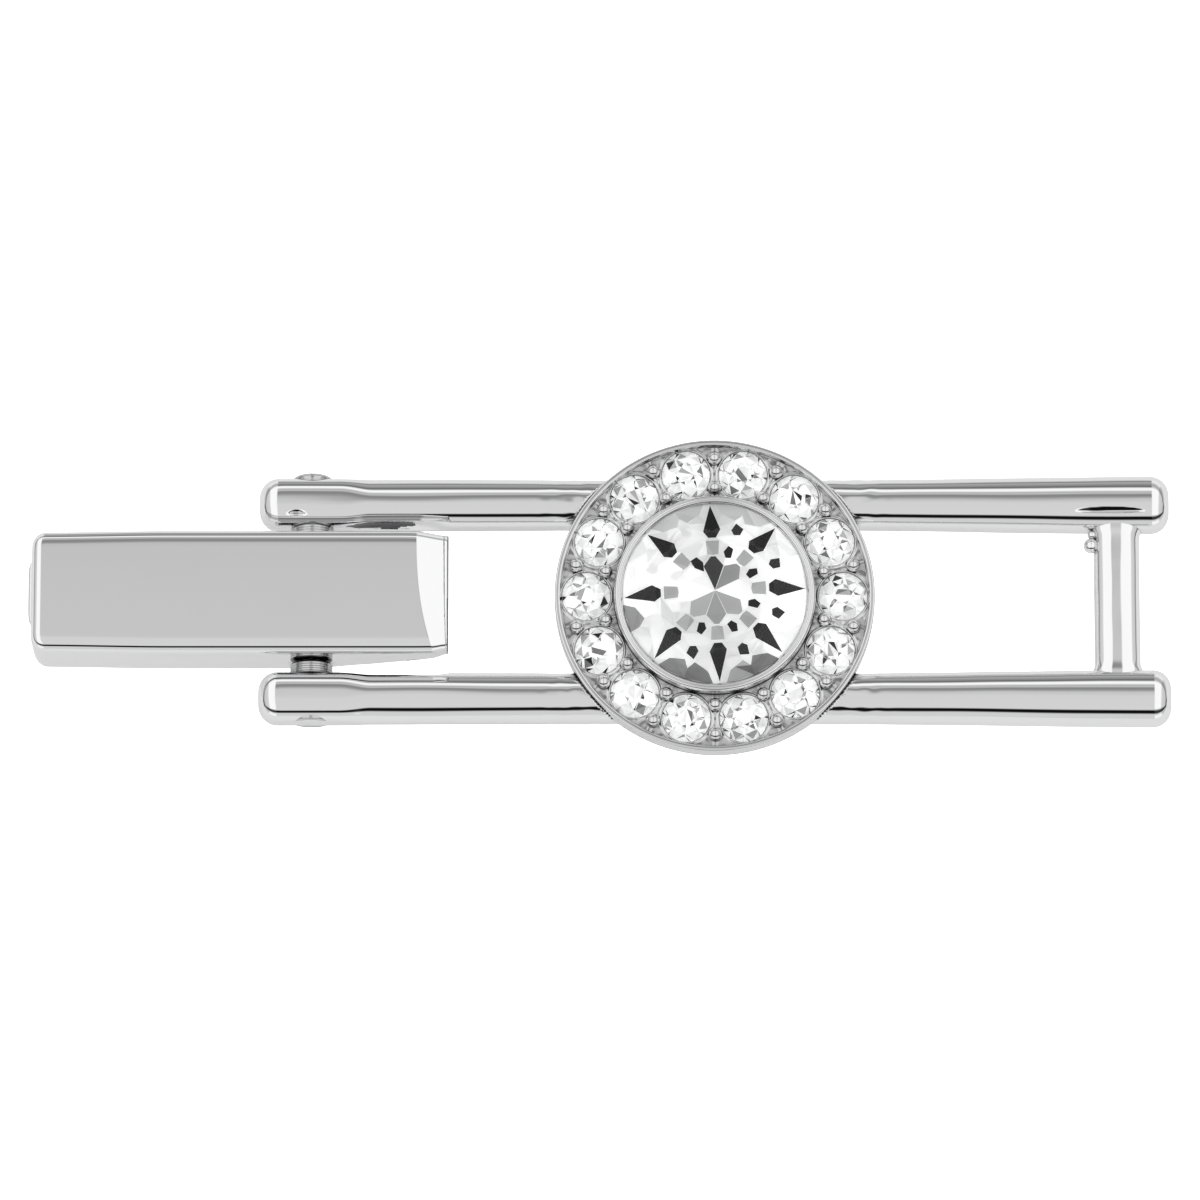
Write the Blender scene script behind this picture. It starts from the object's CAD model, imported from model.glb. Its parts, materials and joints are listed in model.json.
import json
import math
import bpy
import bmesh
import mathutils
from mathutils import Matrix, Vector, noise


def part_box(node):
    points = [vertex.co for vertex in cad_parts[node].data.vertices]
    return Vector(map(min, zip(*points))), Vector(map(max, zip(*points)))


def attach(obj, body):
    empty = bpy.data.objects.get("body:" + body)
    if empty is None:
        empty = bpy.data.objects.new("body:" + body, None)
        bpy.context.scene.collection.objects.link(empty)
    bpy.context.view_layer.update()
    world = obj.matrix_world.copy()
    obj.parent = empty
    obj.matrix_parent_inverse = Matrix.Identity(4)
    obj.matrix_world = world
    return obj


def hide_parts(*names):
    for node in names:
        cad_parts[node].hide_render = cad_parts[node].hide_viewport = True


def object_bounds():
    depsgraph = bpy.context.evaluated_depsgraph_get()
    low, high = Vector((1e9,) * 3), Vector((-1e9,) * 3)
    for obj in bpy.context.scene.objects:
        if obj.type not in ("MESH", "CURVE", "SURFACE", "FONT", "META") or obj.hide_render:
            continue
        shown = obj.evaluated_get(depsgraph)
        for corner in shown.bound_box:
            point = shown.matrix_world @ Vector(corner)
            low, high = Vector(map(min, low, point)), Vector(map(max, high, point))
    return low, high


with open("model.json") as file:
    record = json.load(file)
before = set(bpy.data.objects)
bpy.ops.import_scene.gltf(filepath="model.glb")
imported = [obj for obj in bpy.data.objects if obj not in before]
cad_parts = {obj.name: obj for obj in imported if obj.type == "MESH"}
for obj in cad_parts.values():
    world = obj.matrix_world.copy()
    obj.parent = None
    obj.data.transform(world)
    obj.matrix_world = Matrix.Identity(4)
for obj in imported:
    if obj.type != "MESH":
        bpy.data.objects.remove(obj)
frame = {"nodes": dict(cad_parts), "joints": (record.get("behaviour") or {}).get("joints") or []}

mm = 0.001
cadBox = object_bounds()
partBox = {name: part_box(name) for name in frame["nodes"]}
print("frame loaded:", len(partBox), "nodes")


def middle(name):
    low, high = partBox[name]
    return Vector([(a + b) / 2 for a, b in zip(low, high)])


def size(name):
    low, high = partBox[name]
    return Vector([b - a for a, b in zip(low, high)])


hingePoint = Vector(frame["joints"][0]["pos_m"])
haloMiddle = middle("halo_cup")


def newGroup(name, inputs, outputs):
    group = bpy.data.node_groups.new(name, "ShaderNodeTree")
    for label, kind, value in inputs:
        socket = group.interface.new_socket(label, in_out="INPUT", socket_type=kind)
        socket.default_value = value
    for label, kind in outputs:
        group.interface.new_socket(label, in_out="OUTPUT", socket_type=kind)
    start = group.nodes.new("NodeGroupInput")
    end = group.nodes.new("NodeGroupOutput")
    return group, start, end


def mathNode(nodes, links, how, a, b=None, c=None):
    node = nodes.new("ShaderNodeMath")
    node.operation = how
    for index, value in enumerate((a, b, c)):
        if value is None:
            continue
        if isinstance(value, (int, float)):
            node.inputs[index].default_value = value
        else:
            links.new(value, node.inputs[index])
    return node.outputs[0]


def makePolishGroup():
    # hand polishing: long soft ripples, fine rubbing marks and faint smudges
    group, start, end = newGroup(
        "handPolish",
        [("Ripple Size", "NodeSocketFloat", 260.0), ("Mark Size", "NodeSocketFloat", 2600.0),
         ("Smudge", "NodeSocketFloat", 0.06), ("Roughness", "NodeSocketFloat", 0.03)],
        [("Height", "NodeSocketFloat"), ("Roughness", "NodeSocketFloat")])
    nodes, links = group.nodes, group.links
    where = nodes.new("ShaderNodeTexCoord").outputs["Object"]
    stretch = nodes.new("ShaderNodeVectorMath")
    stretch.operation = "MULTIPLY"
    stretch.inputs[1].default_value = (0.35, 1.0, 1.0)
    links.new(where, stretch.inputs[0])
    ripple = nodes.new("ShaderNodeTexNoise")
    ripple.inputs["Detail"].default_value = 1.0
    links.new(stretch.outputs[0], ripple.inputs["Vector"])
    links.new(start.outputs["Ripple Size"], ripple.inputs["Scale"])
    marks = nodes.new("ShaderNodeTexNoise")
    marks.inputs["Detail"].default_value = 3.0
    links.new(stretch.outputs[0], marks.inputs["Vector"])
    links.new(start.outputs["Mark Size"], marks.inputs["Scale"])
    smudge = nodes.new("ShaderNodeTexNoise")
    smudge.inputs["Scale"].default_value = 420.0
    smudge.inputs["Detail"].default_value = 4.0
    links.new(where, smudge.inputs["Vector"])
    faint = mathNode(nodes, links, "MULTIPLY", marks.outputs["Fac"], 0.04)
    links.new(mathNode(nodes, links, "ADD", ripple.outputs["Fac"], faint), end.inputs["Height"])
    veil = mathNode(nodes, links, "SUBTRACT", smudge.outputs["Fac"], 0.5)
    veil = mathNode(nodes, links, "MAXIMUM", veil, 0.0)
    veil = mathNode(nodes, links, "MULTIPLY", veil, start.outputs["Smudge"])
    links.new(mathNode(nodes, links, "ADD", veil, start.outputs["Roughness"]),
              end.inputs["Roughness"])
    return group


def makeRecessGroup():
    # plating looks darker down in corners, where polishing doesn't reach
    group, start, end = newGroup(
        "recessTone",
        [("Bright", "NodeSocketColor", (0.8, 0.8, 0.8, 1)),
         ("Dark", "NodeSocketColor", (0.4, 0.4, 0.4, 1)),
         ("Reach", "NodeSocketFloat", 0.0004)],
        [("Color", "NodeSocketColor"), ("Open", "NodeSocketFloat")])
    nodes, links = group.nodes, group.links
    hollow = nodes.new("ShaderNodeAmbientOcclusion")
    hollow.samples = 6
    links.new(start.outputs["Reach"], hollow.inputs["Distance"])
    ramp = nodes.new("ShaderNodeMapRange")
    ramp.inputs["From Min"].default_value = 0.25
    ramp.inputs["From Max"].default_value = 0.85
    links.new(hollow.outputs["AO"], ramp.inputs["Value"])
    blend = nodes.new("ShaderNodeMix")
    blend.data_type = "RGBA"
    links.new(ramp.outputs["Result"], blend.inputs["Factor"])
    links.new(start.outputs["Dark"], blend.inputs["A"])
    links.new(start.outputs["Bright"], blend.inputs["B"])
    links.new(blend.outputs["Result"], end.inputs["Color"])
    links.new(ramp.outputs["Result"], end.inputs["Open"])
    return group


polishGroup = makePolishGroup()
recessGroup = makeRecessGroup()


def placeGroup(nodes, group, values):
    node = nodes.new("ShaderNodeGroup")
    node.node_tree = group
    for label, value in values.items():
        node.inputs[label].default_value = value
    return node


def metalMaterial(name, look):
    material = bpy.data.materials.new(name)
    material.use_nodes = True
    nodes, links = material.node_tree.nodes, material.node_tree.links
    shader = nodes["Principled BSDF"]
    shader.inputs["Metallic"].default_value = 1.0
    polish = placeGroup(nodes, polishGroup, {
        "Ripple Size": look["rippleSize"], "Mark Size": look["markSize"],
        "Smudge": look["smudge"], "Roughness": look["roughness"]})
    recess = placeGroup(nodes, recessGroup, {
        "Bright": look["bright"], "Dark": look["dark"], "Reach": look["reach"]})
    bump = nodes.new("ShaderNodeBump")
    bump.inputs["Strength"].default_value = look["bump"]
    bump.inputs["Distance"].default_value = look["bumpDepth"]
    links.new(polish.outputs["Height"], bump.inputs["Height"])
    links.new(bump.outputs["Normal"], shader.inputs["Normal"])
    links.new(polish.outputs["Roughness"], shader.inputs["Roughness"])
    links.new(recess.outputs["Color"], shader.inputs["Base Color"])
    return material


railLook = {
    "bright": (0.86, 0.86, 0.865, 1), "dark": (0.5, 0.5, 0.51, 1), "reach": 0.3 * mm,
    "roughness": 0.03, "smudge": 0.08, "rippleSize": 300.0, "markSize": 3000.0,
    "bump": 0.35, "bumpDepth": 0.02 * mm}
castLook = dict(railLook, bright=(0.1, 0.1, 0.103, 1), dark=(0.02, 0.02, 0.02, 1), roughness=0.22,
                smudge=0.4, rippleSize=3500.0, bump=1.0)
leverLook = dict(railLook, roughness=0.035, rippleSize=90.0, bump=0.1)
edgeLook = dict(railLook, bright=(0.3, 0.3, 0.305, 1), dark=(0.1, 0.1, 0.1, 1), roughness=0.2)
haloLook = dict(railLook, bright=(0.74, 0.74, 0.745, 1), dark=(0.1, 0.1, 0.102, 1),
                reach=0.4 * mm, roughness=0.07, smudge=0.12, rippleSize=900.0, bump=0.4)
beadLook = dict(haloLook, bright=(0.72, 0.72, 0.725, 1), dark=(0.01, 0.01, 0.01, 1),
                reach=0.45 * mm, roughness=0.06)
pinLook = dict(railLook, bright=(0.56, 0.56, 0.565, 1), dark=(0.2, 0.2, 0.2, 1),
               roughness=0.13, rippleSize=2200.0, bump=0.8)

railMetal = metalMaterial("railMetal", railLook)
castMetal = metalMaterial("castMetal", castLook)
beadMetal = metalMaterial("beadMetal", beadLook)
leverMetal = metalMaterial("leverMetal", leverLook)
edgeMetal = metalMaterial("edgeMetal", edgeLook)
haloMetal = metalMaterial("haloMetal", haloLook)
pinMetal = metalMaterial("pinMetal", pinLook)


def crystalMaterial(name, look):
    material = bpy.data.materials.new(name)
    material.use_nodes = True
    nodes, links = material.node_tree.nodes, material.node_tree.links
    shader = nodes["Principled BSDF"]
    shader.inputs["Transmission Weight"].default_value = 1.0
    shader.inputs["IOR"].default_value = look["ior"]
    shader.inputs["Roughness"].default_value = 0.0
    shader.inputs["Base Color"].default_value = look["color"]
    return material


def foilMaterial(name, look):
    # silver foil behind the stones, each facet with its own tone
    material = bpy.data.materials.new(name)
    material.use_nodes = True
    nodes, links = material.node_tree.nodes, material.node_tree.links
    shader = nodes["Principled BSDF"]
    shader.inputs["Metallic"].default_value = look["metallic"]
    shader.inputs["Roughness"].default_value = look["roughness"]
    shader.inputs["Emission Strength"].default_value = look["sparkle"]
    shader.inputs["Specular IOR Level"].default_value = 0.0
    tone = nodes.new("ShaderNodeVertexColor")
    tone.layer_name = "facetTone"
    grain = nodes.new("ShaderNodeTexNoise")
    grain.inputs["Scale"].default_value = look["grain"]
    links.new(nodes.new("ShaderNodeTexCoord").outputs["Object"], grain.inputs["Vector"])
    soft = nodes.new("ShaderNodeMapRange")
    soft.inputs["To Min"].default_value = look["low"]
    soft.inputs["To Max"].default_value = 1.0
    links.new(grain.outputs["Fac"], soft.inputs["Value"])
    mix = nodes.new("ShaderNodeMix")
    mix.data_type = "RGBA"
    mix.blend_type = "MULTIPLY"
    mix.inputs["Factor"].default_value = 1.0
    links.new(tone.outputs["Color"], mix.inputs["A"])
    links.new(soft.outputs["Result"], mix.inputs["B"])
    links.new(mix.outputs["Result"], shader.inputs["Base Color"])
    # light gathered by the cut comes back brightest from the brightest facets
    strong = nodes.new("ShaderNodeVectorMath")
    strong.operation = "MULTIPLY"
    links.new(mix.outputs["Result"], strong.inputs[0])
    links.new(mix.outputs["Result"], strong.inputs[1])
    links.new(strong.outputs[0], shader.inputs["Emission Color"])
    return material


crystalLook = {"ior": 1.45, "color": (0.99, 0.995, 1.0, 1)}
foilLook = {"metallic": 0.3, "roughness": 0.3, "sparkle": 0.45, "grain": 600.0, "low": 0.9}
crystalGlass = crystalMaterial("crystalGlass", crystalLook)
crystalFoil = foilMaterial("crystalFoil", foilLook)
ringFoil = foilMaterial("ringFoil", dict(foilLook, sparkle=0.5))
print("materials made")


def addPiece(name, points, faces, material, body, replaced=(), smooth=True, slots=None):
    mesh = bpy.data.meshes.new(name)
    mesh.from_pydata([tuple(p) for p in points], [], faces)
    mesh.materials.append(material)
    for extra in slots or []:
        mesh.materials.append(extra)
    tool = bmesh.new()
    tool.from_mesh(mesh)
    bmesh.ops.recalc_face_normals(tool, faces=tool.faces)
    tool.to_mesh(mesh)
    tool.free()
    mesh.polygons.foreach_set("use_smooth", [smooth] * len(mesh.polygons))
    piece = bpy.data.objects.new(name, mesh)
    bpy.context.collection.objects.link(piece)
    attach(piece, body)
    if replaced:
        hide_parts(*replaced)
    return piece


def loft(rings, closeEnds=True):
    # rings of equally many points, joined one to the next
    count = len(rings[0])
    points = [p for ring in rings for p in ring]
    faces = []
    for row in range(len(rings) - 1):
        for k in range(count):
            nextK = (k + 1) % count
            faces.append((row * count + k, row * count + nextK,
                          (row + 1) * count + nextK, (row + 1) * count + k))
    if closeEnds:
        faces.append(tuple(range(count - 1, -1, -1)))
        last = (len(rings) - 1) * count
        faces.append(tuple(range(last, last + count)))
    return points, faces


def turned(profile, steps, place):
    # profile of (radius, height) pairs turned about the local Z axis
    rings = []
    for r, h in profile:
        ring = []
        for k in range(steps):
            a = 2 * math.pi * k / steps
            ring.append(place @ Vector((r * math.cos(a), r * math.sin(a), h)))
        rings.append(ring)
    return loft(rings)


def arc(cx, cy, r, start, end, steps):
    out = []
    for k in range(steps + 1):
        a = math.radians(start + (end - start) * k / steps)
        out.append((cx + r * math.cos(a), cy + r * math.sin(a)))
    return out


def smoothStep(low, high, value):
    t = min(1.0, max(0.0, (value - low) / (high - low)))
    return t * t * (3 - 2 * t)


def softRing(halfW, halfH, radius, arcSteps=8, flatSteps=3):
    # closed outline of a rectangle with round corners, points in fixed order
    out = []
    corners = [(halfW - radius, halfH - radius, 0), (-halfW + radius, halfH - radius, 90),
               (-halfW + radius, -halfH + radius, 180), (halfW - radius, -halfH + radius, 270)]
    for index, (cx, cy, start) in enumerate(corners):
        bend = arc(cx, cy, radius, start, start + 90, arcSteps)
        out += bend
        nx, ny, nextStart = corners[(index + 1) % 4]
        a = bend[-1]
        b = arc(nx, ny, radius, nextStart, nextStart, 1)[0]
        for k in range(1, flatSteps + 1):
            t = k / (flatSteps + 1)
            out.append((a[0] + (b[0] - a[0]) * t, a[1] + (b[1] - a[1]) * t))
    return out


def ovalRing(halfW, halfH, power, count):
    # closed outline between an ellipse and a rectangle, closer points on its upper half
    out = []
    for k in range(count):
        t = 2 * math.pi * k / count
        t += 0.32 * math.sin(t - math.pi / 2) + 0.32
        c, q = math.cos(t), math.sin(t)
        out.append((math.copysign(abs(c) ** (2 / power), c) * halfW,
                    math.copysign(abs(q) ** (2 / power), q) * halfH))
    return out


def endStations(low, high, radius, bendSteps, innerStations):
    # places along a bar, close together where its ends round over
    bend = [radius * (1 - math.cos(math.radians(90 * k / bendSteps))) for k in range(bendSteps)]
    left = [low + d for d in bend]
    right = [high - d for d in reversed(bend)]
    return left + [v for v in innerStations if low + radius <= v <= high - radius] + right


def rounded(d, radius):
    # how far a rounded edge has fallen away at a distance d from its end
    if d >= radius:
        return 0.0
    return radius - math.sqrt(max(0.0, radius ** 2 - (radius - d) ** 2))


rail = {
    "endRound": 0.82 * mm, "power": 2.45, "hingePower": 3.3, "hingeWidth": 2.24 * mm,
    "waistWidth": 2.2 * mm, "barWidth": 2.5 * mm, "stations": 420, "around": 240,
    "ripple": 0.016 * mm, "roll": 2.8,
    "scoopMiddle": 3.6 * mm, "scoopHalf": 2.4 * mm, "scoopDepth": 0.2 * mm,
    "scoopHeight": 1.42 * mm, "scoopReach": 0.42 * mm, "cupFloor": 0.9 * mm, "cupBelly": 1.48 * mm,
    "cupChamfer": 0.55 * mm, "weldReach": 1.8 * mm, "weldWave": 0.014 * mm,
    "nickSlope": 0.41, "nickWall": 1.3,
    "nicks": [(22.2 * mm, 3.82 * mm, 1.5 * mm, 0.26 * mm),
              (-13.2 * mm, 3.68 * mm, 0.38 * mm, 0.24 * mm)]}


def railHalfWidth(x):
    low, high = partBox["upper_rail"]
    t = (x - low[0]) / (high[0] - low[0])
    waist = smoothStep(0.12, 0.45, t) * (1 - smoothStep(0.55, 0.97, t))
    base = rail["hingeWidth"] + (rail["barWidth"] - rail["hingeWidth"]) * smoothStep(0.45, 1, t)
    return (base + (rail["waistWidth"] - base) * waist) / 2


def underCup(point):
    # keeps a rail out of the halo cup's underside
    cupR = size("halo_cup").x / 2
    r = math.hypot(point.x - haloMiddle.x, point.y - haloMiddle.y)
    if r >= cupR:
        return point
    slope = max(0.0, (r - (cupR - rail["cupChamfer"])) / rail["cupChamfer"])
    top = rail["cupFloor"] + slope * (rail["cupBelly"] - rail["cupFloor"])
    point.z = min(point.z, top)
    return point


def nickDepth(p):
    # narrow dents that the polishing wheel didn't take out
    depth = 0.0
    for x, y, halfLength, halfWidth in rail["nicks"]:
        along = (p.x - x) / halfLength
        if abs(along) < 1:
            deep = rail["nickSlope"] * halfWidth * math.sqrt(1 - along ** 2)
            slope = rail["nickSlope"] if p.y > y else rail["nickWall"]
            depth = max(depth, deep - slope * abs(p.y - y))
    return depth


def buildRail(name, side):
    low, high = partBox[name]
    centreY = middle(name).y
    halfH = size(name).z / 2
    cupR = size("halo_cup").x / 2
    steps = [low[0] + (high[0] - low[0]) * k / rail["stations"] for k in range(rail["stations"])]
    rings = []
    for x in endStations(low[0], high[0], rail["endRound"], 14, steps):
        inset = rounded(min(x - low[0], high[0] - x), rail["endRound"])
        halfW = railHalfWidth(x) - inset
        weld = 1 - smoothStep(0, rail["weldReach"], abs(x - haloMiddle.x) - cupR + 0.5 * mm)
        calm = smoothStep(0, 1.2 * mm, min(x - low[0], high[0] - x))
        hingeShare = 1 - smoothStep(1.2 * mm, 2.6 * mm, abs(x - hingePoint.x))
        power = rail["power"] + (rail["hingePower"] - rail["power"]) * hingeShare
        roll = math.radians(rail["roll"]) * noise.noise(Vector((x / (5.2 * mm), side * 3.1, 0))) * calm
        ring = []
        for u, v in ovalRing(halfW, halfH - inset, power, rail["around"]):
            u, v = u - v * roll * (1 - (u / halfW) ** 2), v + u * roll * (1 - (v / halfH) ** 2)
            p = Vector((x, centreY + u, halfH + v))
            # shallow hollow along the inner front edge, beside the lever's tail
            along = (x - hingePoint.x - rail["scoopMiddle"]) / rail["scoopHalf"]
            across = (p.z - rail["scoopHeight"]) / rail["scoopReach"]
            if abs(along) < 1 and abs(across) < 1 and side * u < 0:
                p.y += side * rail["scoopDepth"] * (1 - along ** 2) * (1 - across ** 2)
            out = Vector((0, u, v)).normalized()
            wave = noise.noise(Vector((x / (4.5 * mm), p.y / (1.6 * mm), p.z / (1.6 * mm)))) - 1
            p += out * wave * rail["ripple"] * calm
            if weld > 0:
                lump = noise.noise(Vector((x, p.y, p.z)) / (0.5 * mm)) - 0.7
                p += out * lump * rail["weldWave"] * weld
            if v > 0 and side > 0:
                p.z -= nickDepth(p)
            p.z = min(p.z, high[2])
            ring.append(underCup(p))
        rings.append(ring)
    points, faces = loft(rings)
    bar = addPiece(name.replace("_", "") + "Bar", points, faces, railMetal, "frame", [name],
                   slots=[castMetal])
    # the hollow was left as cast, so it's rough and dark
    for polygon in bar.data.polygons:
        p = polygon.center
        along = (p.x - hingePoint.x - rail["scoopMiddle"] + 0.6 * mm) / (rail["scoopHalf"] * 0.62)
        across = (p.z - rail["scoopHeight"]) / (rail["scoopReach"] * 0.8)
        rough = noise.noise(p / (0.3 * mm)) * 0.5
        if side * (p.y - centreY) < 0 and along ** 2 + across ** 2 + rough < 1:
            polygon.material_index = 1
    return bar


buildRail("upper_rail", 1)
buildRail("lower_rail", -1)
print("rails made")


crossBar = {"power": 2.5, "around": 96, "ripple": 0.008 * mm, "fillet": 0.14 * mm,
            "fillGap": 0.4 * mm, "dropR": (0.33 * mm, 0.2 * mm), "dropIn": 0.14 * mm}


def buildCrossBar():
    low, high = partBox["cross_bar"]
    centre = middle("cross_bar")
    half = size("cross_bar") / 2
    innerY = partBox["upper_rail"][0][1] + 0.02 * mm
    rings = []
    rows = 90
    for k in range(rows + 1):
        y = low[1] + (high[1] - low[1]) * k / rows
        gap = innerY - abs(y)
        flare = crossBar["fillet"] * max(0.0, 1 - max(gap, 0.0) / crossBar["fillGap"]) ** 2.4
        ring = []
        for u, v in ovalRing(half.x + flare * 0.7, half.z + flare * 0.08, crossBar["power"],
                             crossBar["around"]):
            wave = noise.noise(Vector((u / (0.7 * mm), y / (1.6 * mm), v / (0.7 * mm)))) - 0.6
            out = Vector((u, 0, v)).normalized()
            ring.append(Vector((centre.x + u, y, centre.z + v)) + out * wave * crossBar["ripple"])
        rings.append(ring)
    points, faces = loft(rings)
    return addPiece("crossBar", points, faces, railMetal, "frame", ["cross_bar"])


def buildSolder():
    # two drops that ran together where the bar was soldered in
    low, high = partBox["solder_beads"]
    big, small = crossBar["dropR"]
    drops = [(low[1] + big, big), (high[1] - crossBar["dropIn"], small)]
    points, faces = [], []
    x = partBox["cross_bar"][0][0]
    for y, r in drops:
        profile = [(r * math.sin(math.radians(a)), r * math.cos(math.radians(a)))
                   for a in [0.5] + list(range(6, 175, 6)) + [179.5]]
        place = Matrix.Translation((x - 0.35 * r, y, middle("solder_beads").z))
        p, f = turned(profile, 32, place)
        for q in p:
            lump = noise.noise(q / (0.35 * mm)) * 0.05 * r
            q += (q - place.translation).normalized() * lump
        faces += [tuple(i + len(points) for i in face) for face in f]
        points += p
    return addPiece("solderDrops", points, faces, railMetal, "frame", ["solder_beads"])


buildCrossBar()
buildSolder()
print("cross bar made")


hinge = {"dome": 0.26 * mm, "flushIn": 0.03 * mm, "rim": 0.06 * mm, "grooves": 3, "groove": 0.025 * mm,
         "collarRound": 0.06 * mm, "shankR": 0.55 * mm, "headSeat": 0.45 * mm}


def buildPin():
    low, high = partBox["hinge_pin"]
    r = size("hinge_pin").x / 2
    place = Matrix.Translation(hingePoint) @ Matrix.Rotation(-math.pi / 2, 4, "X")
    bottom, top = low[1] - hingePoint.y + hinge["flushIn"], high[1] - hingePoint.y
    seat = partBox["upper_rail"][1][1] - hinge["headSeat"]
    dome = []
    for k in range(13):
        t = k / 12
        dome.append((max(0.02 * mm, r * math.cos(t * math.pi / 2)),
                     top - hinge["dome"] + hinge["dome"] * math.sin(t * math.pi / 2)))
    shank = hinge["shankR"]
    # the flush end is peened, so its middle is a little dished
    profile = [(0.02 * mm, bottom + 0.05 * mm), (r * 0.45, bottom + 0.045 * mm),
               (r * 0.7, bottom + 0.012 * mm), (r - hinge["rim"], bottom),
               (r - 0.02 * mm, bottom + 0.02 * mm), (r, bottom + hinge["rim"]),
               (r, bottom + 0.25 * mm), (shank, bottom + 0.26 * mm),
               (shank, seat), (r, seat + 0.01 * mm), (r, top - hinge["dome"] - 0.05 * mm)]
    points, faces = turned(profile + dome, 64, place)
    return addPiece("hingeRivet", points, faces, pinMetal, "frame", ["hinge_pin"])


def collarProfile(r, half):
    out = [(0.5 * mm, -half), (r - hinge["collarRound"], -half), (r, -half + hinge["collarRound"])]
    rows = 36
    for k in range(rows + 1):
        t = k / rows
        dip = hinge["groove"] * max(0.0, math.cos(2 * math.pi * t * (hinge["grooves"] + 1))) ** 6
        out.append((r - dip, -half + hinge["collarRound"] + t * 2 * (half - hinge["collarRound"])))
    return out + [(r - hinge["collarRound"], half), (0.5 * mm, half)]


def buildCollar(name, body):
    centre = middle(name)
    place = Matrix.Translation(centre) @ Matrix.Rotation(-math.pi / 2, 4, "X")
    points, faces = turned(collarProfile(size(name).x / 2, size(name).y / 2), 72, place)
    return addPiece(name.replace("_", "") + "Ring", points, faces, pinMetal, body, [name])


buildPin()
buildCollar("upper_collar", "frame")
buildCollar("lower_collar", "frame")
buildCollar("lever_bushing", "lever")
print("hinge made")


halo = {
    "bedZ": 2.12 * mm, "rimWidth": 0.28 * mm, "stones": 14, "ringR": 5.57 * mm,
    "stoneR": 1.05 * mm, "seatRim": 0.05 * mm, "seatLift": 0.05 * mm, "beadR": 0.3 * mm,
    "beadOut": 0.6 * mm, "beadIn": 0.72 * mm, "beadLift": 0.1 * mm, "chamfer": 0.55 * mm,
    "rings": 96, "perStone": 56, "rimTop": 2.38 * mm, "belly": 1.52 * mm, "seatDepth": 0.5 * mm,
    "webWidth": 0.12 * mm, "webLift": 0.02 * mm, "grain": 0.012 * mm, "beadTurn": 118}


def ringAngle(i):
    return math.radians(90 - 360 / halo["stones"] * (i - 0.5))


def bedHeight(x, y):
    # height of the stone bed: seats with a thin raised lip, and a web between the stones
    r = math.hypot(x, y)
    a = math.atan2(y, x)
    step = 2 * math.pi / halo["stones"]
    i = round((math.radians(90) - a) / step + 0.5)
    near = 1e9
    for j in (i - 1, i, i + 1):
        b = ringAngle(j)
        near = min(near, math.hypot(x - halo["ringR"] * math.cos(b), y - halo["ringR"] * math.sin(b)))
    z = halo["bedZ"]
    edge = halo["stoneR"] + 0.01 * mm
    if near < edge:
        z -= halo["seatDepth"] * smoothStep(0, 0.04 * mm, edge - near)
    else:
        z += halo["seatLift"] * math.exp(-((near - edge - halo["seatRim"]) / (0.035 * mm)) ** 2)
    # bright-cut web running out between each pair of stones
    gap = a - (math.radians(90) - step * (i - 1))
    for line in (gap, gap + step, gap - step):
        across = abs(line) * r
        if across < halo["webWidth"]:
            z += (halo["webLift"] * (1 - (across / halo["webWidth"]) ** 2)
                  * smoothStep(0, 0.3 * mm, near - edge + 0.25 * mm))
    z += noise.noise(Vector((x, y, 0)) / (0.25 * mm)) * halo["grain"]
    return z


def buildHaloCup():
    cupR = size("halo_cup").x / 2
    low, high = partBox["halo_cup"]
    rimZ = halo["rimTop"]
    inner = size("centre_bezel").x / 2 + 0.005 * mm
    bedOut = cupR - halo["rimWidth"]
    around = halo["stones"] * halo["perStone"]
    rings = []

    def ringAt(r, height):
        ring = []
        for k in range(around):
            a = 2 * math.pi * k / around
            x, y = r * math.cos(a), r * math.sin(a)
            z = height if height is not None else bedHeight(x, y)
            ring.append(Vector((haloMiddle.x + x, haloMiddle.y + y, z)))
        return ring

    rings.append(ringAt(inner, low[2]))
    rings.append(ringAt(inner, halo["bedZ"] - 0.2 * mm))
    for k in range(halo["rings"] + 1):
        rings.append(ringAt(inner + (bedOut - inner) * k / halo["rings"], None))
    # inner wall of the rim, its rounded top and the outer wall down to the belly
    edge = [(bedOut + 0.02 * mm, halo["bedZ"] + 0.1 * mm), (bedOut + 0.05 * mm, rimZ - 0.03 * mm)]
    edge += [(bedOut + 0.08 * mm - 0.03 * mm * math.cos(t), rimZ - 0.03 * mm + 0.03 * mm * math.sin(t))
             for t in (0.5, 1.0, 1.57)]
    edge += [(cupR - 0.06 * mm + 0.06 * mm * math.sin(t), rimZ - 0.06 * mm + 0.06 * mm * math.cos(t))
             for t in (0.0, 0.4, 0.8, 1.2, 1.57)]
    edge += [(cupR, 2.1 * mm), (cupR, 1.8 * mm), (cupR, halo["belly"]),
             (cupR - 0.04 * mm, halo["belly"] - 0.08 * mm),
             (cupR - halo["chamfer"] + 0.05 * mm, low[2] + 0.05 * mm),
             (cupR - halo["chamfer"] - 0.03 * mm, low[2]), (cupR - 1.6 * mm, low[2])]
    for r, z in edge:
        rings.append(ringAt(r, z))
    points, faces = loft(rings, closeEnds=False)
    last = len(rings) - 1
    for k in range(around):
        nextK = (k + 1) % around
        faces.append((last * around + k, last * around + nextK, nextK, k))
    return addPiece("haloCup", points, faces, haloMetal, "frame", ["halo_cup"])


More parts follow.
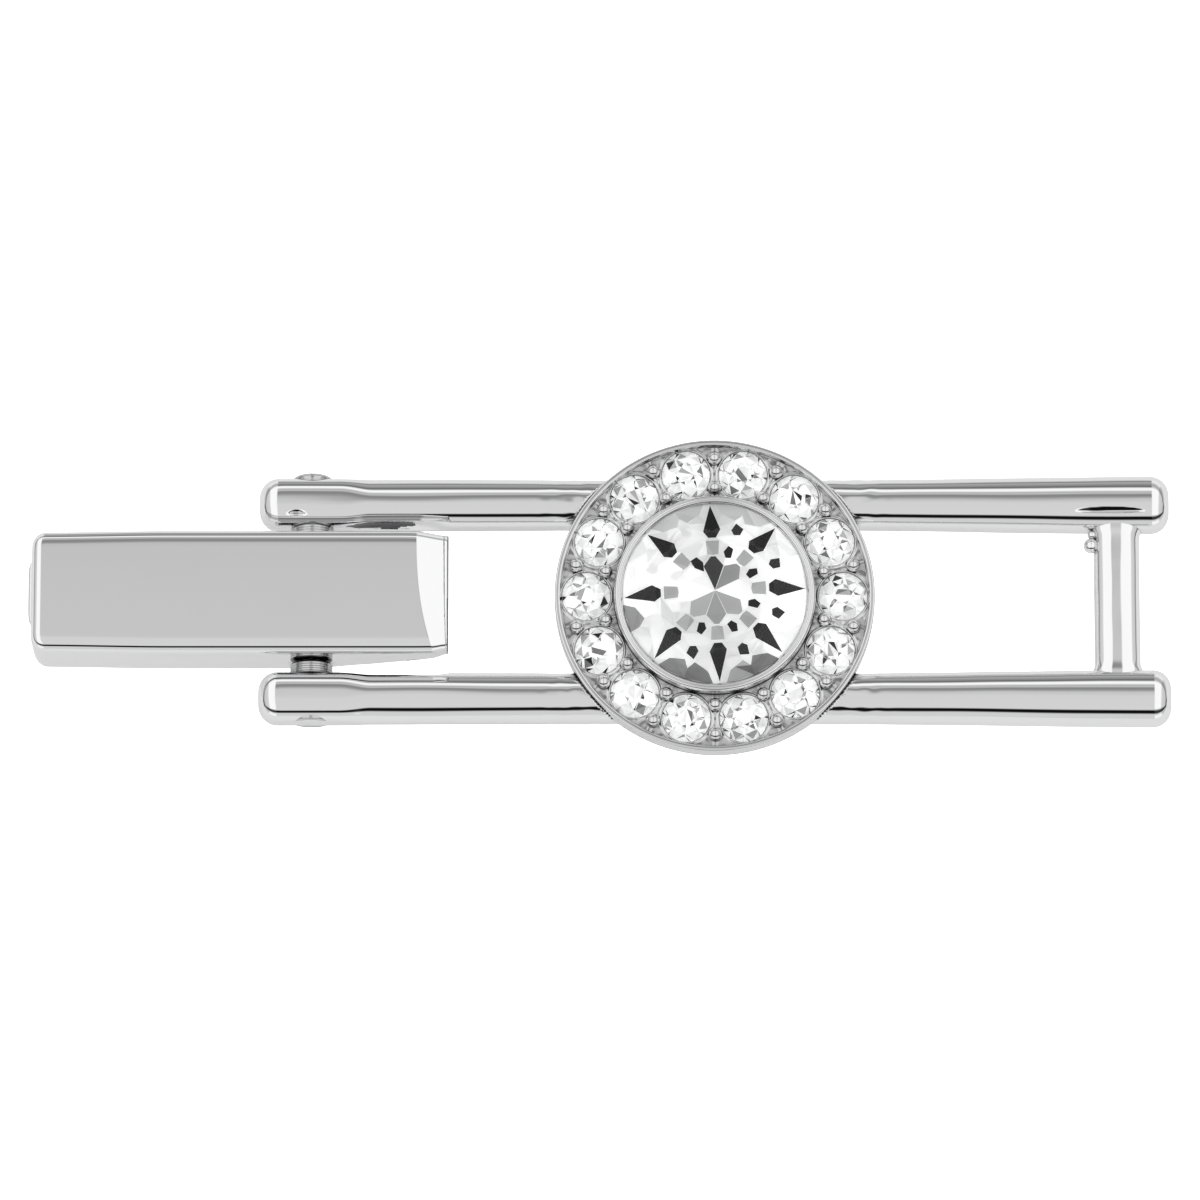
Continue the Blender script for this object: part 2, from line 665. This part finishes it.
def buildBeads():
    # grain beads raised from the bed, one outside and one inside the ring in every gap
    points, faces = [], []
    step = 2 * math.pi / halo["stones"]
    profile = []
    for k in range(17):
        t = k / 16 * math.radians(halo["beadTurn"])
        profile.append((max(0.004 * mm, halo["beadR"] * math.sin(t)), halo["beadR"] * math.cos(t)))
    for i in range(halo["stones"]):
        for r, scale in ((halo["ringR"] + halo["beadOut"], 1.0), (halo["ringR"] - halo["beadIn"], 0.97)):
            jitter = noise.noise(Vector((i * 3.7, r / mm, 0))) * 0.03
            a = ringAngle(i) + step / 2 + jitter * 0.2
            at = Vector((haloMiddle.x + r * math.cos(a), haloMiddle.y + r * math.sin(a),
                         halo["bedZ"] + halo["beadLift"]))
            place = Matrix.Translation(at) @ Matrix.Scale(scale * (1 + jitter), 4)
            p, f = turned(profile, 28, place)
            faces += [tuple(j + len(points) for j in face) for face in f]
            points += p
    beads = addPiece("grainBeads", points, faces, beadMetal, "frame")
    return beads


def buildBezel():
    low, high = partBox["centre_bezel"]
    outer = size("centre_bezel").x / 2
    top = high[2]
    lip = size("centre_stone").x / 2 - 0.15 * mm
    profile = [(0.02 * mm, low[2]), (2.94 * mm, low[2]), (3.0 * mm, low[2] + 0.06 * mm),
               (3.0 * mm, 0.9 * mm), (outer - 0.03 * mm, 0.9 * mm), (outer, 0.95 * mm),
               (outer, 2.05 * mm), (outer, 2.3 * mm), (outer, top - 0.2 * mm)]
    profile += [(outer - 0.14 * mm + 0.14 * mm * math.cos(t), top - 0.14 * mm + 0.14 * mm * math.sin(t))
                for t in [0.15 + 0.1775 * k for k in range(9)]]
    # a fine burnished groove, then the lip bent over the stone
    profile += [(lip + 0.19 * mm, top - 0.004 * mm), (lip + 0.165 * mm, top - 0.03 * mm),
                (lip + 0.14 * mm, top - 0.006 * mm), (lip + 0.1 * mm, top - 0.012 * mm),
                (lip + 0.05 * mm, top - 0.05 * mm), (lip + 0.015 * mm, top - 0.09 * mm),
                (lip, top - 0.13 * mm), (lip + 0.03 * mm, top - 0.17 * mm),
                (outer - 0.2 * mm, top - 0.2 * mm), (outer - 0.2 * mm, 2.4 * mm),
                (3.6 * mm, 2.1 * mm), (0.4 * mm, 0.14 * mm), (0.02 * mm, 0.14 * mm)]
    place = Matrix.Translation((haloMiddle.x, haloMiddle.y, 0))
    points, faces = turned(profile, 192, place)
    return addPiece("centreBezel", points, faces, haloMetal, "frame", ["centre_bezel"])


buildHaloCup()
buildBeads()
buildBezel()
print("halo made")


centreCut = {
    "sides": 8, "turn": 93, "tableShare": 0.56, "mainSlope": 24, "starSlope": 15, "edgeSlope": 31,
    "kiteTip": 0.96, "kiteShoulder": 0.65, "kiteHeel": 0.575, "shoulderTurn": 8, "heelTurn": 4,
    "petalTip": 0.37, "petalSide": 0.285, "tilt": 0.03, "foilGap": 0.05 * mm,
    "girdleLow": 2.51 * mm, "girdleHigh": 2.58 * mm}
ringCut = {
    "sides": 8, "tableShare": 0.5, "mainSlope": 34, "starSlope": 22, "edgeSlope": 40,
    "tilt": 0.12, "foilGap": 0.12 * mm, "girdleLow": 2.06 * mm, "girdleHigh": 2.14 * mm}

# share of light that each kind of facet sends back, by its bearing from the stone's centre
centreTones = {
    "arrow": [(0, 360, 0.018)],
    "outerWindow": [(0, 90, 0.015), (90, 230, 0.8), (230, 360, 0.015)],
    "innerWindow": [(0, 130, 0.015), (130, 230, 0.85), (230, 360, 0.015)],
    "heelPatch": [(0, 360, 0.5)],
    "shoulder": [(0, 55, 0.95), (55, 100, 0.66), (100, 145, 0.62), (145, 180, 0.95),
                 (180, 206, 0.4), (206, 228, 0.75), (228, 262, 0.3), (262, 292, 0.55),
                 (292, 325, 0.26), (325, 360, 0.95)],
    "field": [(0, 40, 0.88), (40, 75, 0.98), (75, 105, 0.76), (105, 135, 0.84), (135, 165, 0.95),
              (165, 200, 1.0), (200, 235, 0.8), (235, 310, 0.84), (310, 360, 0.97)],
    "petals": [0.07, 0.97, 1.0, 0.5, 0.42, 0.5, 0.97, 0.4]}


# ring stones: share of facets up to each number, and the tone they get
ringTones = [(0.025, 0.03), (0.08, 0.25), (0.2, 0.5), (0.45, 0.85), (1.01, 1.0)]


def hashValue(*keys):
    # repeatable number from 0 to 1 for one facet
    v = math.sin(sum((i + 1) * 12.9898 * k for i, k in enumerate(keys))) * 43758.5453
    return v - math.floor(v)


def crownPlanes(radius, tableZ, cut, turn):
    # the facet planes of a crown, each as a point and a normal
    step = 360 / cut["sides"]
    planes = []
    for k in range(cut["sides"]):
        planes.append((turn + k * step, cut["mainSlope"], radius, cut["girdleHigh"]))
        tableR = radius * cut["tableShare"]
        planes.append((turn + (k + 0.5) * step, cut["starSlope"], tableR * 1.04, tableZ))
        for side in (-1, 1):
            planes.append((turn + (k + 0.5 + side * 0.27) * step, cut["edgeSlope"],
                           radius * 1.002, cut["girdleHigh"]))
    out = []
    for turnDeg, slope, r, z in planes:
        a, s = math.radians(turnDeg), math.radians(slope)
        normal = Vector((math.cos(a) * math.sin(s), math.sin(a) * math.sin(s), math.cos(s)))
        out.append((Vector((math.cos(a) * r, math.sin(a) * r, z)), normal))
    return out


def cutCrown(radius, tableZ, cut, turn):
    # a round blank cut by the crown's facet planes
    girdleLow = cut["girdleLow"]
    tool = bmesh.new()
    bmesh.ops.create_cone(tool, cap_ends=True, segments=64, radius1=radius, radius2=radius,
                          depth=tableZ - girdleLow,
                          matrix=Matrix.Translation((0, 0, (tableZ + girdleLow) / 2)))
    for at, normal in crownPlanes(radius, tableZ, cut, turn):
        cutEdges = bmesh.ops.bisect_plane(
            tool, geom=tool.verts[:] + tool.edges[:] + tool.faces[:], dist=0.0005 * mm,
            plane_co=at, plane_no=normal, clear_outer=True)["geom_cut"]
        loops = [e for e in cutEdges if isinstance(e, bmesh.types.BMEdge)]
        if loops:
            bmesh.ops.contextual_create(tool, geom=loops)
    points = [v.co.copy() for v in tool.verts]
    tool.verts.index_update()
    faces = [tuple(v.index for v in f.verts) for f in tool.faces]
    tool.free()
    return points, faces


def polar(r, degrees):
    a = math.radians(degrees)
    return Vector((r * math.cos(a), r * math.sin(a)))


def centreOutlines(cut):
    # what is seen in the stone from above: arrows, small windows and the flower
    step = 360 / cut["sides"]
    shapes = []
    for k in range(cut["sides"]):
        a = cut["turn"] + k * step
        h = a + step / 2
        shapes.append(("arrow", k, [
            polar(cut["kiteTip"], a), polar(cut["kiteShoulder"], a + cut["shoulderTurn"]),
            polar(cut["kiteHeel"], a + cut["heelTurn"]), polar(cut["kiteHeel"], a - cut["heelTurn"]),
            polar(cut["kiteShoulder"] + 0.02, a - cut["shoulderTurn"])]))
        shapes.append(("outerWindow", k, [
            polar(0.775, h + 2.5), polar(0.74, h - 4.8), polar(0.66, h - 4.4), polar(0.635, h + 1),
            polar(0.68, h + 4.6)]))
        window = [(0.505, 3), (0.49, -4), (0.39, -6.5), (0.37, 2), (0.43, 7)]
        if k == 0:
            window = [(0.41, 15), (0.41, 3), (0.33, -3), (0.23, 4), (0.32, 16)]
        shapes.append(("innerWindow", k, [polar(r, h + turn) for r, turn in window]))
        shapes.append(("petal", k, [
            polar(0.004, a), polar(cut["petalSide"], a - step / 2 + 0.8),
            polar(cut["petalTip"], a - 4), polar(cut["petalTip"], a + 4),
            polar(cut["petalSide"], a + step / 2 - 0.8)]))
        shapes.append(("heelPatch", k, [
            polar(0.545, a + 7.5), polar(0.545, a - 7.5), polar(0.4, a - 8.5), polar(0.385, a),
            polar(0.4, a + 8.5)]))
        shapes.append(("shoulder", k, [
            polar(0.985, a + 4), polar(0.985, h), polar(0.985, a + step - 4),
            polar(0.86, a + step - 8), polar(0.8, h + 4), polar(0.88, h), polar(0.8, h - 4),
            polar(0.86, a + 8)]))
    return shapes


def inside(point, outline):
    hit = False
    for i, a in enumerate(outline):
        b = outline[i - 1]
        if (a.y > point.y) != (b.y > point.y):
            if point.x < (b.x - a.x) * (point.y - a.y) / (b.y - a.y) + a.x:
                hit = not hit
    return hit


def facetTone(kind, k, point):
    # tones of the foiled back: black where it mirrors the dark, white where it mirrors the light
    turn = math.degrees(math.atan2(point.y, point.x)) % 360
    wobble = hashValue(k, round(point.x * 9), round(point.y * 9))
    for start, end, tone in centreTones.get(kind, []):
        if start <= turn < end:
            return tone * (0.9 + 0.2 * wobble)
    if kind == "petal":
        return centreTones["petals"][k] * (0.94 + 0.12 * wobble)
    return 0.7 + 0.3 * wobble


def foilFaces(radius, heightAt, cut, shapes, stars, seed):
    # the pattern's outlines and its star lines split the round back into small facets
    verts, edges = [], []
    rim = 64
    for k in range(rim):
        verts.append(polar(1.0, 360 * k / rim))
        edges.append((k, (k + 1) % rim))
    for kind, k, outline in shapes:
        start = len(verts)
        verts += outline
        edges += [(start + i, start + (i + 1) % len(outline)) for i in range(len(outline))]
    for r, offset, skip in stars:
        start = len(verts)
        count = cut["sides"]
        verts += [polar(r, cut["turn"] + offset + 360 * k / count) for k in range(count)]
        edges += [(start + k, start + (k + skip) % count) for k in range(count)]
    flat = mathutils.geometry.delaunay_2d_cdt(verts, edges, [], 1, 0.004)
    points, faces, tones = [], [], []
    for face in flat[2]:
        corners = [flat[0][i] for i in face]
        centre = sum(corners, Vector((0, 0))) / len(corners)
        if centre.length > 0.999:
            continue
        start = len(points)
        # each facet is its own small mirror with its own tilt
        leanTurn = 360 * hashValue(seed, centre.x * 3.1, centre.y * 5.3)
        lean = polar(hashValue(seed + 2, centre.y * 7.7, centre.x) * cut["tilt"], leanTurn)
        for corner in corners:
            x, y = corner.x * radius, corner.y * radius
            points.append(Vector((x, y, heightAt(x, y) + (corner - centre).dot(lean) * radius)))
        faces.append(tuple(range(start, start + len(corners))))
        kind, sector = next(((n, i) for n, i, o in shapes if inside(centre, o)), ("field", 0))
        tones.append((kind, sector, centre))
    return points, faces, tones


def paintTones(piece, tones):
    layer = piece.data.color_attributes.new("facetTone", "FLOAT_COLOR", "CORNER")
    for polygon, tone in zip(piece.data.polygons, tones):
        for loop in polygon.loop_indices:
            layer.data[loop].color = (tone, tone, tone, 1)


def buildCentreStone():
    centre = middle("centre_stone")
    low, high = partBox["centre_stone"]
    radius = size("centre_stone").x / 2
    shift = Vector((centre.x, centre.y, 0))
    points, faces = cutCrown(radius, high[2], centreCut, centreCut["turn"])
    crown = addPiece("centreCrystal", [p + shift for p in points], faces, crystalGlass, "frame",
                     ["centre_stone"], smooth=False)
    shapes = centreOutlines(centreCut)
    stars = [(0.985, 0, 2), (0.8, 22.5, 1), (0.6, 0, 1)]
    planes = crownPlanes(radius, high[2], centreCut, centreCut["turn"])

    def heightAt(x, y):
        # the foil lies close under the crown, which keeps the pattern crisp
        under = [at.z - ((x - at.x) * n.x + (y - at.y) * n.y) / n.z for at, n in planes]
        return min(under + [high[2]]) - centreCut["foilGap"]

    points, faces, marks = foilFaces(radius * 0.985, heightAt, centreCut, shapes, stars, 1)
    foil = addPiece("centreFoil", [p + shift for p in points], faces, crystalFoil, "frame",
                    smooth=False)
    paintTones(foil, [facetTone(*mark) for mark in marks])
    return crown


def buildRingStones():
    for i in range(1, halo["stones"] + 1):
        name = "ring_stone_%02d" % i
        low, high = partBox[name]
        centre = middle(name)
        radius = size(name).x / 2
        shift = Vector((centre.x, centre.y, 0))
        turn = 360 * hashValue(i, 4)
        points, faces = cutCrown(radius, high[2], ringCut, turn)
        addPiece("ringCrystal%02d" % i, [p + shift for p in points], faces, crystalGlass,
                 "frame", [name], smooth=False)
        planes = crownPlanes(radius, high[2], ringCut, turn)

        def heightAt(x, y):
            under = [at.z - ((x - at.x) * n.x + (y - at.y) * n.y) / n.z for at, n in planes]
            return min(under + [high[2]]) - ringCut["foilGap"]

        cut = dict(ringCut, turn=turn)
        stars = [(0.97, 0, 2), (0.82, 22.5, 3), (0.5, 22.5 + 9 * hashValue(i, 2), 1)]
        points, faces, marks = foilFaces(radius * 0.97, heightAt, cut, [], stars, i + 3)
        foil = addPiece("ringFoil%02d" % i, [p + shift for p in points], faces, ringFoil,
                        "frame", smooth=False)
        tones = []
        for kind, sector, at in marks:
            pick = hashValue(i, at.x * 11, at.y * 17)
            tones.append(next(tone for share, tone in ringTones if pick < share))
        paintTones(foil, tones)


buildCentreStone()
buildRingStones()
print("stones made")


lever = {
    "sheet": 0.5 * mm, "crownStart": 2.1 * mm, "crownEnd": 2.35 * mm, "crownSlope": 6,
    "gripRound": 0.42 * mm, "planRound": 0.62 * mm, "bullNose": 0.7 * mm, "ear": 1.1 * mm,
    "tailFoot": 0.15 * mm, "tailLow": 2.15 * mm, "turnSlope": 15, "tailRound": 0.09 * mm,
    "turnFar": 1.42 * mm, "turnNear": 0.68 * mm, "turnStart": 4.0 * mm, "turnBend": 0.12 * mm,
    "roofBend": 0.12 * mm,
    "tailNarrow": 0.14 * mm, "gripNarrow": 0.07 * mm, "halfWidth": 2.725 * mm,
    "lower": 0.06 * mm, "bumpBack": 6.15 * mm, "bumpR": 0.5 * mm, "bumpOut": 0.09 * mm,
    "lipWide": 2.8 * mm, "liner": 0.5 * mm}


def leverBottom(x, low, high):
    d = x - low[0]
    if d < lever["bullNose"]:
        return rounded(d, lever["bullNose"])
    start = hingePoint.x + 0.5 * lever["ear"]
    if x <= hingePoint.x:
        return 0.0
    ear = rounded(lever["ear"] - min(x - hingePoint.x, lever["ear"]), lever["ear"])
    share = max(0.0, x - start) / (high[0] - start)
    rise = lever["tailFoot"] + (lever["tailLow"] - lever["tailFoot"]) * share
    return min(ear, rise) if x < start else rise


def leverEdge():
    # drop of the front face towards its side: flat, a slight fall, then the rounded edge
    rise = math.radians(lever["crownSlope"])
    span = lever["crownEnd"] - lever["crownStart"]
    out = []
    for k in range(9):
        t = k / 8
        out.append((lever["crownStart"] + span * t, math.tan(rise) * span * t * t / 2))
    r = (lever["halfWidth"] - lever["crownEnd"]) / (1 - math.sin(rise))
    y0, z0 = lever["crownEnd"] - r * math.sin(rise), out[-1][1] + r * math.cos(rise)
    for k in range(1, 17):
        a = rise + (math.pi / 2 - rise) * k / 16
        out.append((y0 + r * math.sin(a), z0 - r * math.cos(a)))
    return out


def turnedX(s, y, high):
    # the crease where the tail turns down is a curve, so the stations bend with it
    share = 0.5 - 0.5 * y / lever["halfWidth"]
    curve = (lever["turnFar"] - lever["turnNear"]) * min(1, max(0, share)) ** 2.6
    crease = high[0] - lever["turnFar"] + curve
    start = high[0] - lever["turnStart"]
    if s < 0.5:
        return start + (crease - start) * s * 2, 0.0
    x = crease + (high[0] - crease) * (s - 0.5) * 2
    bend = x - crease
    soft = lever["turnBend"]
    run = bend - soft / 2 if bend > soft else bend ** 2 / (2 * soft)
    return x, run * math.tan(math.radians(lever["turnSlope"]))


def buildLeverCover():
    low, high = partBox["lever_cover"]
    wallX = low[0] + lever["sheet"]
    start = high[0] - lever["turnStart"]
    bend = [low[0] + lever["planRound"] * (1 - math.cos(math.radians(90 * k / 14))) for k in range(15)]
    steps = [bend[-1] + (start - bend[-1]) * k / 110 for k in range(1, 110)]
    straight = sorted(set(bend + [x for x in steps if abs(x - wallX) > 0.03 * mm]
                          + [wallX - 0.004 * mm, wallX + 0.004 * mm]))
    places = [(x, None) for x in straight]
    places += [(start, k / 60) for k in range(0, 30)]
    places += [(start, 0.5 + t) for t in (0, 0.01, 0.02, 0.035, 0.05, 0.07, 0.1, 0.13)]
    places += [(start, 0.5 + 0.5 * k / 24) for k in range(8, 22)]
    places += [(start, s) for s in (0.93, 0.945, 0.958, 0.97, 0.98, 0.988, 0.995, 1.0)]
    edge = leverEdge()
    rings = []
    for x0, s in places:
        d = x0 - low[0]
        inset, narrow = rounded(d, lever["gripRound"]), rounded(d, lever["planRound"])
        along = x0 if s is None else start + (high[0] - start) * s
        half = lever["halfWidth"] - narrow
        half -= lever["tailNarrow"] * smoothStep(high[0] - 2.6 * mm, high[0], along) ** 1.4
        half -= lever["gripNarrow"] * (1 - smoothStep(0, 6 * mm, d))
        top = high[2] - inset
        over = [(half - (lever["halfWidth"] - y), top - z * (1 - inset / lever["gripRound"] * 0.6))
                for y, z in edge]
        flat = over[0][0]
        across = 26
        front = [(-y, z) for y, z in reversed(over)]
        front += [(-flat + 2 * flat * k / across, top) for k in range(1, across)]
        front += over
        bottom = leverBottom(along, low, high)
        wallTop = over[-1][1]
        soft = lever["lower"]
        ring = [(-half + soft * 0.3, bottom), (-half, bottom + soft)]
        ring += [(-half, bottom + soft + (wallTop - bottom - soft) * k / 7) for k in range(1, 7)]
        ring += front
        ring += [(half, wallTop + (bottom + soft - wallTop) * k / 7) for k in range(1, 7)]
        ring += [(half, bottom + soft), (half - soft * 0.3, bottom)]
        outside = len(ring)
        innerHalf = min(lever["halfWidth"], half) - lever["sheet"]
        open_ = along > wallX
        roof = max(top - lever["sheet"], bottom + 0.001 * mm) if open_ else bottom + 0.001 * mm
        bendIn = lever["roofBend"] if open_ else 0.0
        ring += [(innerHalf + soft * 0.3, bottom), (innerHalf, min(bottom + soft, roof))]
        ring += [(innerHalf, max(roof - bendIn, bottom)),
                 (innerHalf - bendIn * 0.3, roof - bendIn * 0.3), (innerHalf - bendIn, roof)]
        ring += [(innerHalf * (1 - 2 * k / 6) * 0.9, roof) for k in range(0, 7)]
        ring += [(-innerHalf + bendIn, roof), (-innerHalf + bendIn * 0.3, roof - bendIn * 0.3),
                 (-innerHalf, max(roof - bendIn, bottom)), (-innerHalf, min(bottom + soft, roof)),
                 (-innerHalf - soft * 0.3, bottom)]
        out = []
        for index, (y, z) in enumerate(ring):
            x, drop = (x0, 0.0) if s is None else turnedX(s, y, high)
            floor = leverBottom(min(x, high[0]), low, high)
            z -= drop
            z -= rounded(high[0] - x, lever["tailRound"])
            if index >= outside or z < bottom + soft * 1.01:
                z = max(z, floor)
            out.append(Vector((x, y, max(z, floor))))
        rings.append(out)
    points, faces = loft(rings)
    cover = addPiece("leverCover", points, faces, leverMetal, "lever", ["lever_cover"],
                     slots=[edgeMetal])
    # the cut edge of the tail isn't polished
    for polygon in cover.data.polygons:
        if polygon.center.x > high[0] - lever["tailRound"] * 0.7:
            polygon.material_index = 1
    return cover


def buildBumps():
    points, faces = [], []
    for side in (-1, 1):
        at = Vector((hingePoint.x - lever["bumpBack"], side * (lever["halfWidth"] - 0.01 * mm),
                     hingePoint.z))
        place = Matrix.Translation(at) @ Matrix.Rotation(-side * math.pi / 2, 4, "X")
        r, h = lever["bumpR"], lever["bumpOut"]
        profile = [(r, -0.05 * mm)]
        for k in range(13):
            t = k / 12
            profile.append((max(0.01 * mm, r * (1 - t)), h * smoothStep(0, 1, t)))
        p, f = turned(profile, 40, place)
        faces += [tuple(i + len(points) for i in face) for face in f]
        points += p
    bumps = addPiece("leverBumps", points, faces, leverMetal, "lever")
    return bumps


def buildLiner():
    low, high = partBox["lever_liner"]
    coverLow = partBox["lever_cover"][0]
    top, bottom = high[2], low[2]
    wallX = coverLow[0] + lever["sheet"] + 0.04 * mm
    half = size("lever_liner").y / 2
    rings = []
    # thumb lip, then the plate behind the end wall
    stations = [(low[0], lever["lipWide"] / 2 - 0.5 * mm, 0.12 * mm),
                (low[0] + 0.03 * mm, lever["lipWide"] / 2 - 0.22 * mm, 0.05 * mm),
                (low[0] + 0.09 * mm, lever["lipWide"] / 2 - 0.06 * mm, 0.01 * mm),
                (low[0] + 0.2 * mm, lever["lipWide"] / 2, 0.0), (wallX, lever["lipWide"] / 2, 0.0),
                (wallX + 0.02 * mm, half, 0.0)]
    stations += [(wallX + (high[0] - wallX) * k / 20, half, 0.0) for k in range(1, 20)]
    stations += [(high[0] - 0.05 * mm, half, 0.0), (high[0], half - 0.04 * mm, 0.05 * mm)]
    for x, wide, inset in stations:
        thick = (lever["liner"] if x < wallX + 0.01 * mm else top - bottom) / 2 - inset
        centreZ = bottom + (lever["liner"] if x < wallX + 0.01 * mm else top - bottom) / 2
        ring = softRing(wide, thick, min(0.1 * mm, thick * 0.9), 5, 5)
        rings.append([Vector((x, u, centreZ + v)) for u, v in ring])
    points, faces = loft(rings)
    return addPiece("leverLiner", points, faces, leverMetal, "lever", ["lever_liner"])


buildLeverCover()
buildBumps()
buildLiner()
print("lever made")


studio = {
    "tilt": 14, "lens": 300, "frameWidth": 52.17 * mm, "aim": (0.0, 0.09 * mm, 1.1 * mm),
    "floorDrop": 13.5 * mm, "floorSize": 0.9, "floorTone": 0.9, "mirror": 0.86,
    "boxSize": 0.35, "boxPower": 0.5,
    "sideFrom": 6.5, "sideTo": 9.5,
    # light levels set round the clip, as greys seen in its polish, by degrees from straight up:
    # dark gap and grey card on its lower side, then bands, a white strip and a gap on its upper
    "across": [(-180, 210), (-64, 205), (-56, 15), (-42, 10), (-36, 210), (10, 208), (14, 196),
               (17, 150), (20, 130), (23, 140), (26, 195), (30, 170), (34, 220), (37, 250),
               (43, 245), (47, 165), (51, 95), (57, 130), (74, 170), (82, 110), (87, 185),
               (180, 220)],
    # then along the clip, the same towards both ends
    "along": [(0, 248), (44, 250), (50, 208), (76, 196), (82, 110), (88, 120), (90, 190)],
    # share of that light left beside the strips that run round both ends
    "around": [(-180, 1), (-75, 0.95), (-62, 0.6), (-57, 0.05), (-44, 0.03), (-38, 0.45),
               (-32, 1), (42, 1), (50, 0.5), (62, 0.4), (78, 0.85), (180, 1)]}


def greyLevel(level):
    # linear light for a grey level seen in polished metal
    return ((level / 255 + 0.055) / 1.055) ** 2.4 / studio["mirror"]


def levelRamp(nodes, links, angle, low, high, table, convert=greyLevel):
    spread = nodes.new("ShaderNodeMapRange")
    spread.inputs["From Min"].default_value = math.radians(low)
    spread.inputs["From Max"].default_value = math.radians(high)
    links.new(angle, spread.inputs["Value"])
    ramp = nodes.new("ShaderNodeValToRGB")
    stops = ramp.color_ramp.elements
    while len(stops) < len(table):
        stops.new(0.5)
    for stop, (degrees, level) in zip(stops, table):
        value = convert(level)
        stop.position = (degrees - low) / (high - low)
        stop.color = (value, value, value, 1)
    links.new(spread.outputs["Result"], ramp.inputs["Fac"])
    return ramp.outputs["Color"]


def buildFloor():
    half = studio["floorSize"] / 2
    z = cadBox[0][2] - studio["floorDrop"]
    mesh = bpy.data.meshes.new("floor")
    mesh.from_pydata([(-half, -half, z), (half, -half, z), (half, half, z), (-half, half, z)],
                     [], [(0, 1, 2, 3)])
    material = bpy.data.materials.new("paleFloor")
    material.use_nodes = True
    nodes, links = material.node_tree.nodes, material.node_tree.links
    shader = nodes["Principled BSDF"]
    shader.inputs["Roughness"].default_value = 0.9
    shader.inputs["Specular IOR Level"].default_value = 0.0
    shader.inputs["Base Color"].default_value = (studio["floorTone"],) * 3 + (1,)
    shader.inputs["Emission Color"].default_value = (1, 1, 1, 1)
    # lit from below, so that it looks white without washing out the clip
    links.new(nodes.new("ShaderNodeLightPath").outputs["Is Camera Ray"],
              shader.inputs["Emission Strength"])
    mesh.materials.append(material)
    floor = bpy.data.objects.new("floor", mesh)
    bpy.context.collection.objects.link(floor)


def buildWorld():
    # a grey card overhead, strips and gaps beside it, and white boxes at both ends
    world = bpy.data.worlds.new("studio")
    bpy.context.scene.world = world
    world.use_nodes = True
    nodes, links = world.node_tree.nodes, world.node_tree.links
    split = nodes.new("ShaderNodeSeparateXYZ")
    links.new(nodes.new("ShaderNodeTexCoord").outputs["Generated"], split.inputs[0])
    pitch = mathNode(nodes, links, "ARCTAN2", split.outputs["Y"], split.outputs["Z"])
    lean = mathNode(nodes, links, "ABSOLUTE",
                    mathNode(nodes, links, "ARCSINE", split.outputs["X"]))
    across = levelRamp(nodes, links, pitch, -180, 180, studio["across"])
    along = levelRamp(nodes, links, lean, 0, 90, studio["along"])
    around = levelRamp(nodes, links, pitch, -180, 180, studio["around"], float)
    ends = nodes.new("ShaderNodeVectorMath")
    ends.operation = "MULTIPLY"
    links.new(along, ends.inputs[0])
    links.new(around, ends.inputs[1])
    side = nodes.new("ShaderNodeMapRange")
    side.interpolation_type = "SMOOTHSTEP"
    side.inputs["From Min"].default_value = math.radians(studio["sideFrom"])
    side.inputs["From Max"].default_value = math.radians(studio["sideTo"])
    links.new(lean, side.inputs["Value"])
    mix = nodes.new("ShaderNodeMix")
    mix.data_type = "RGBA"
    links.new(side.outputs["Result"], mix.inputs["Factor"])
    links.new(across, mix.inputs["A"])
    links.new(ends.outputs[0], mix.inputs["B"])
    links.new(mix.outputs["Result"], nodes["Background"].inputs["Color"])


def addSoftbox(name, at):
    light = bpy.data.lights.new(name, "AREA")
    light.size = studio["boxSize"]
    light.energy = studio["boxPower"]
    lamp = bpy.data.objects.new(name, light)
    lamp.location = at
    lamp.visible_glossy = False
    lamp.rotation_euler = (-Vector(at)).to_track_quat("-Z", "Y").to_euler()
    bpy.context.collection.objects.link(lamp)


def buildCamera():
    data = bpy.data.cameras.new("camera")
    data.lens = studio["lens"]
    data.sensor_width = 36
    distance = studio["frameWidth"] * data.lens / data.sensor_width
    data.clip_start = distance * 0.05
    data.clip_end = 10
    camera = bpy.data.objects.new("camera", data)
    tilt = math.radians(studio["tilt"])
    aim = Vector(studio["aim"])
    camera.location = aim + Vector((0, -math.sin(tilt), math.cos(tilt))) * distance
    camera.rotation_euler = (tilt, 0, 0)
    bpy.context.collection.objects.link(camera)
    bpy.context.scene.camera = camera


buildFloor()
buildWorld()
addSoftbox("fillLeft", (-0.45, -0.15, 0.35))
addSoftbox("fillRight", (0.45, 0.1, 0.35))
buildCamera()
scene = bpy.context.scene
scene.view_settings.view_transform = "Standard"
scene.view_settings.look = "None"
print("studio made")
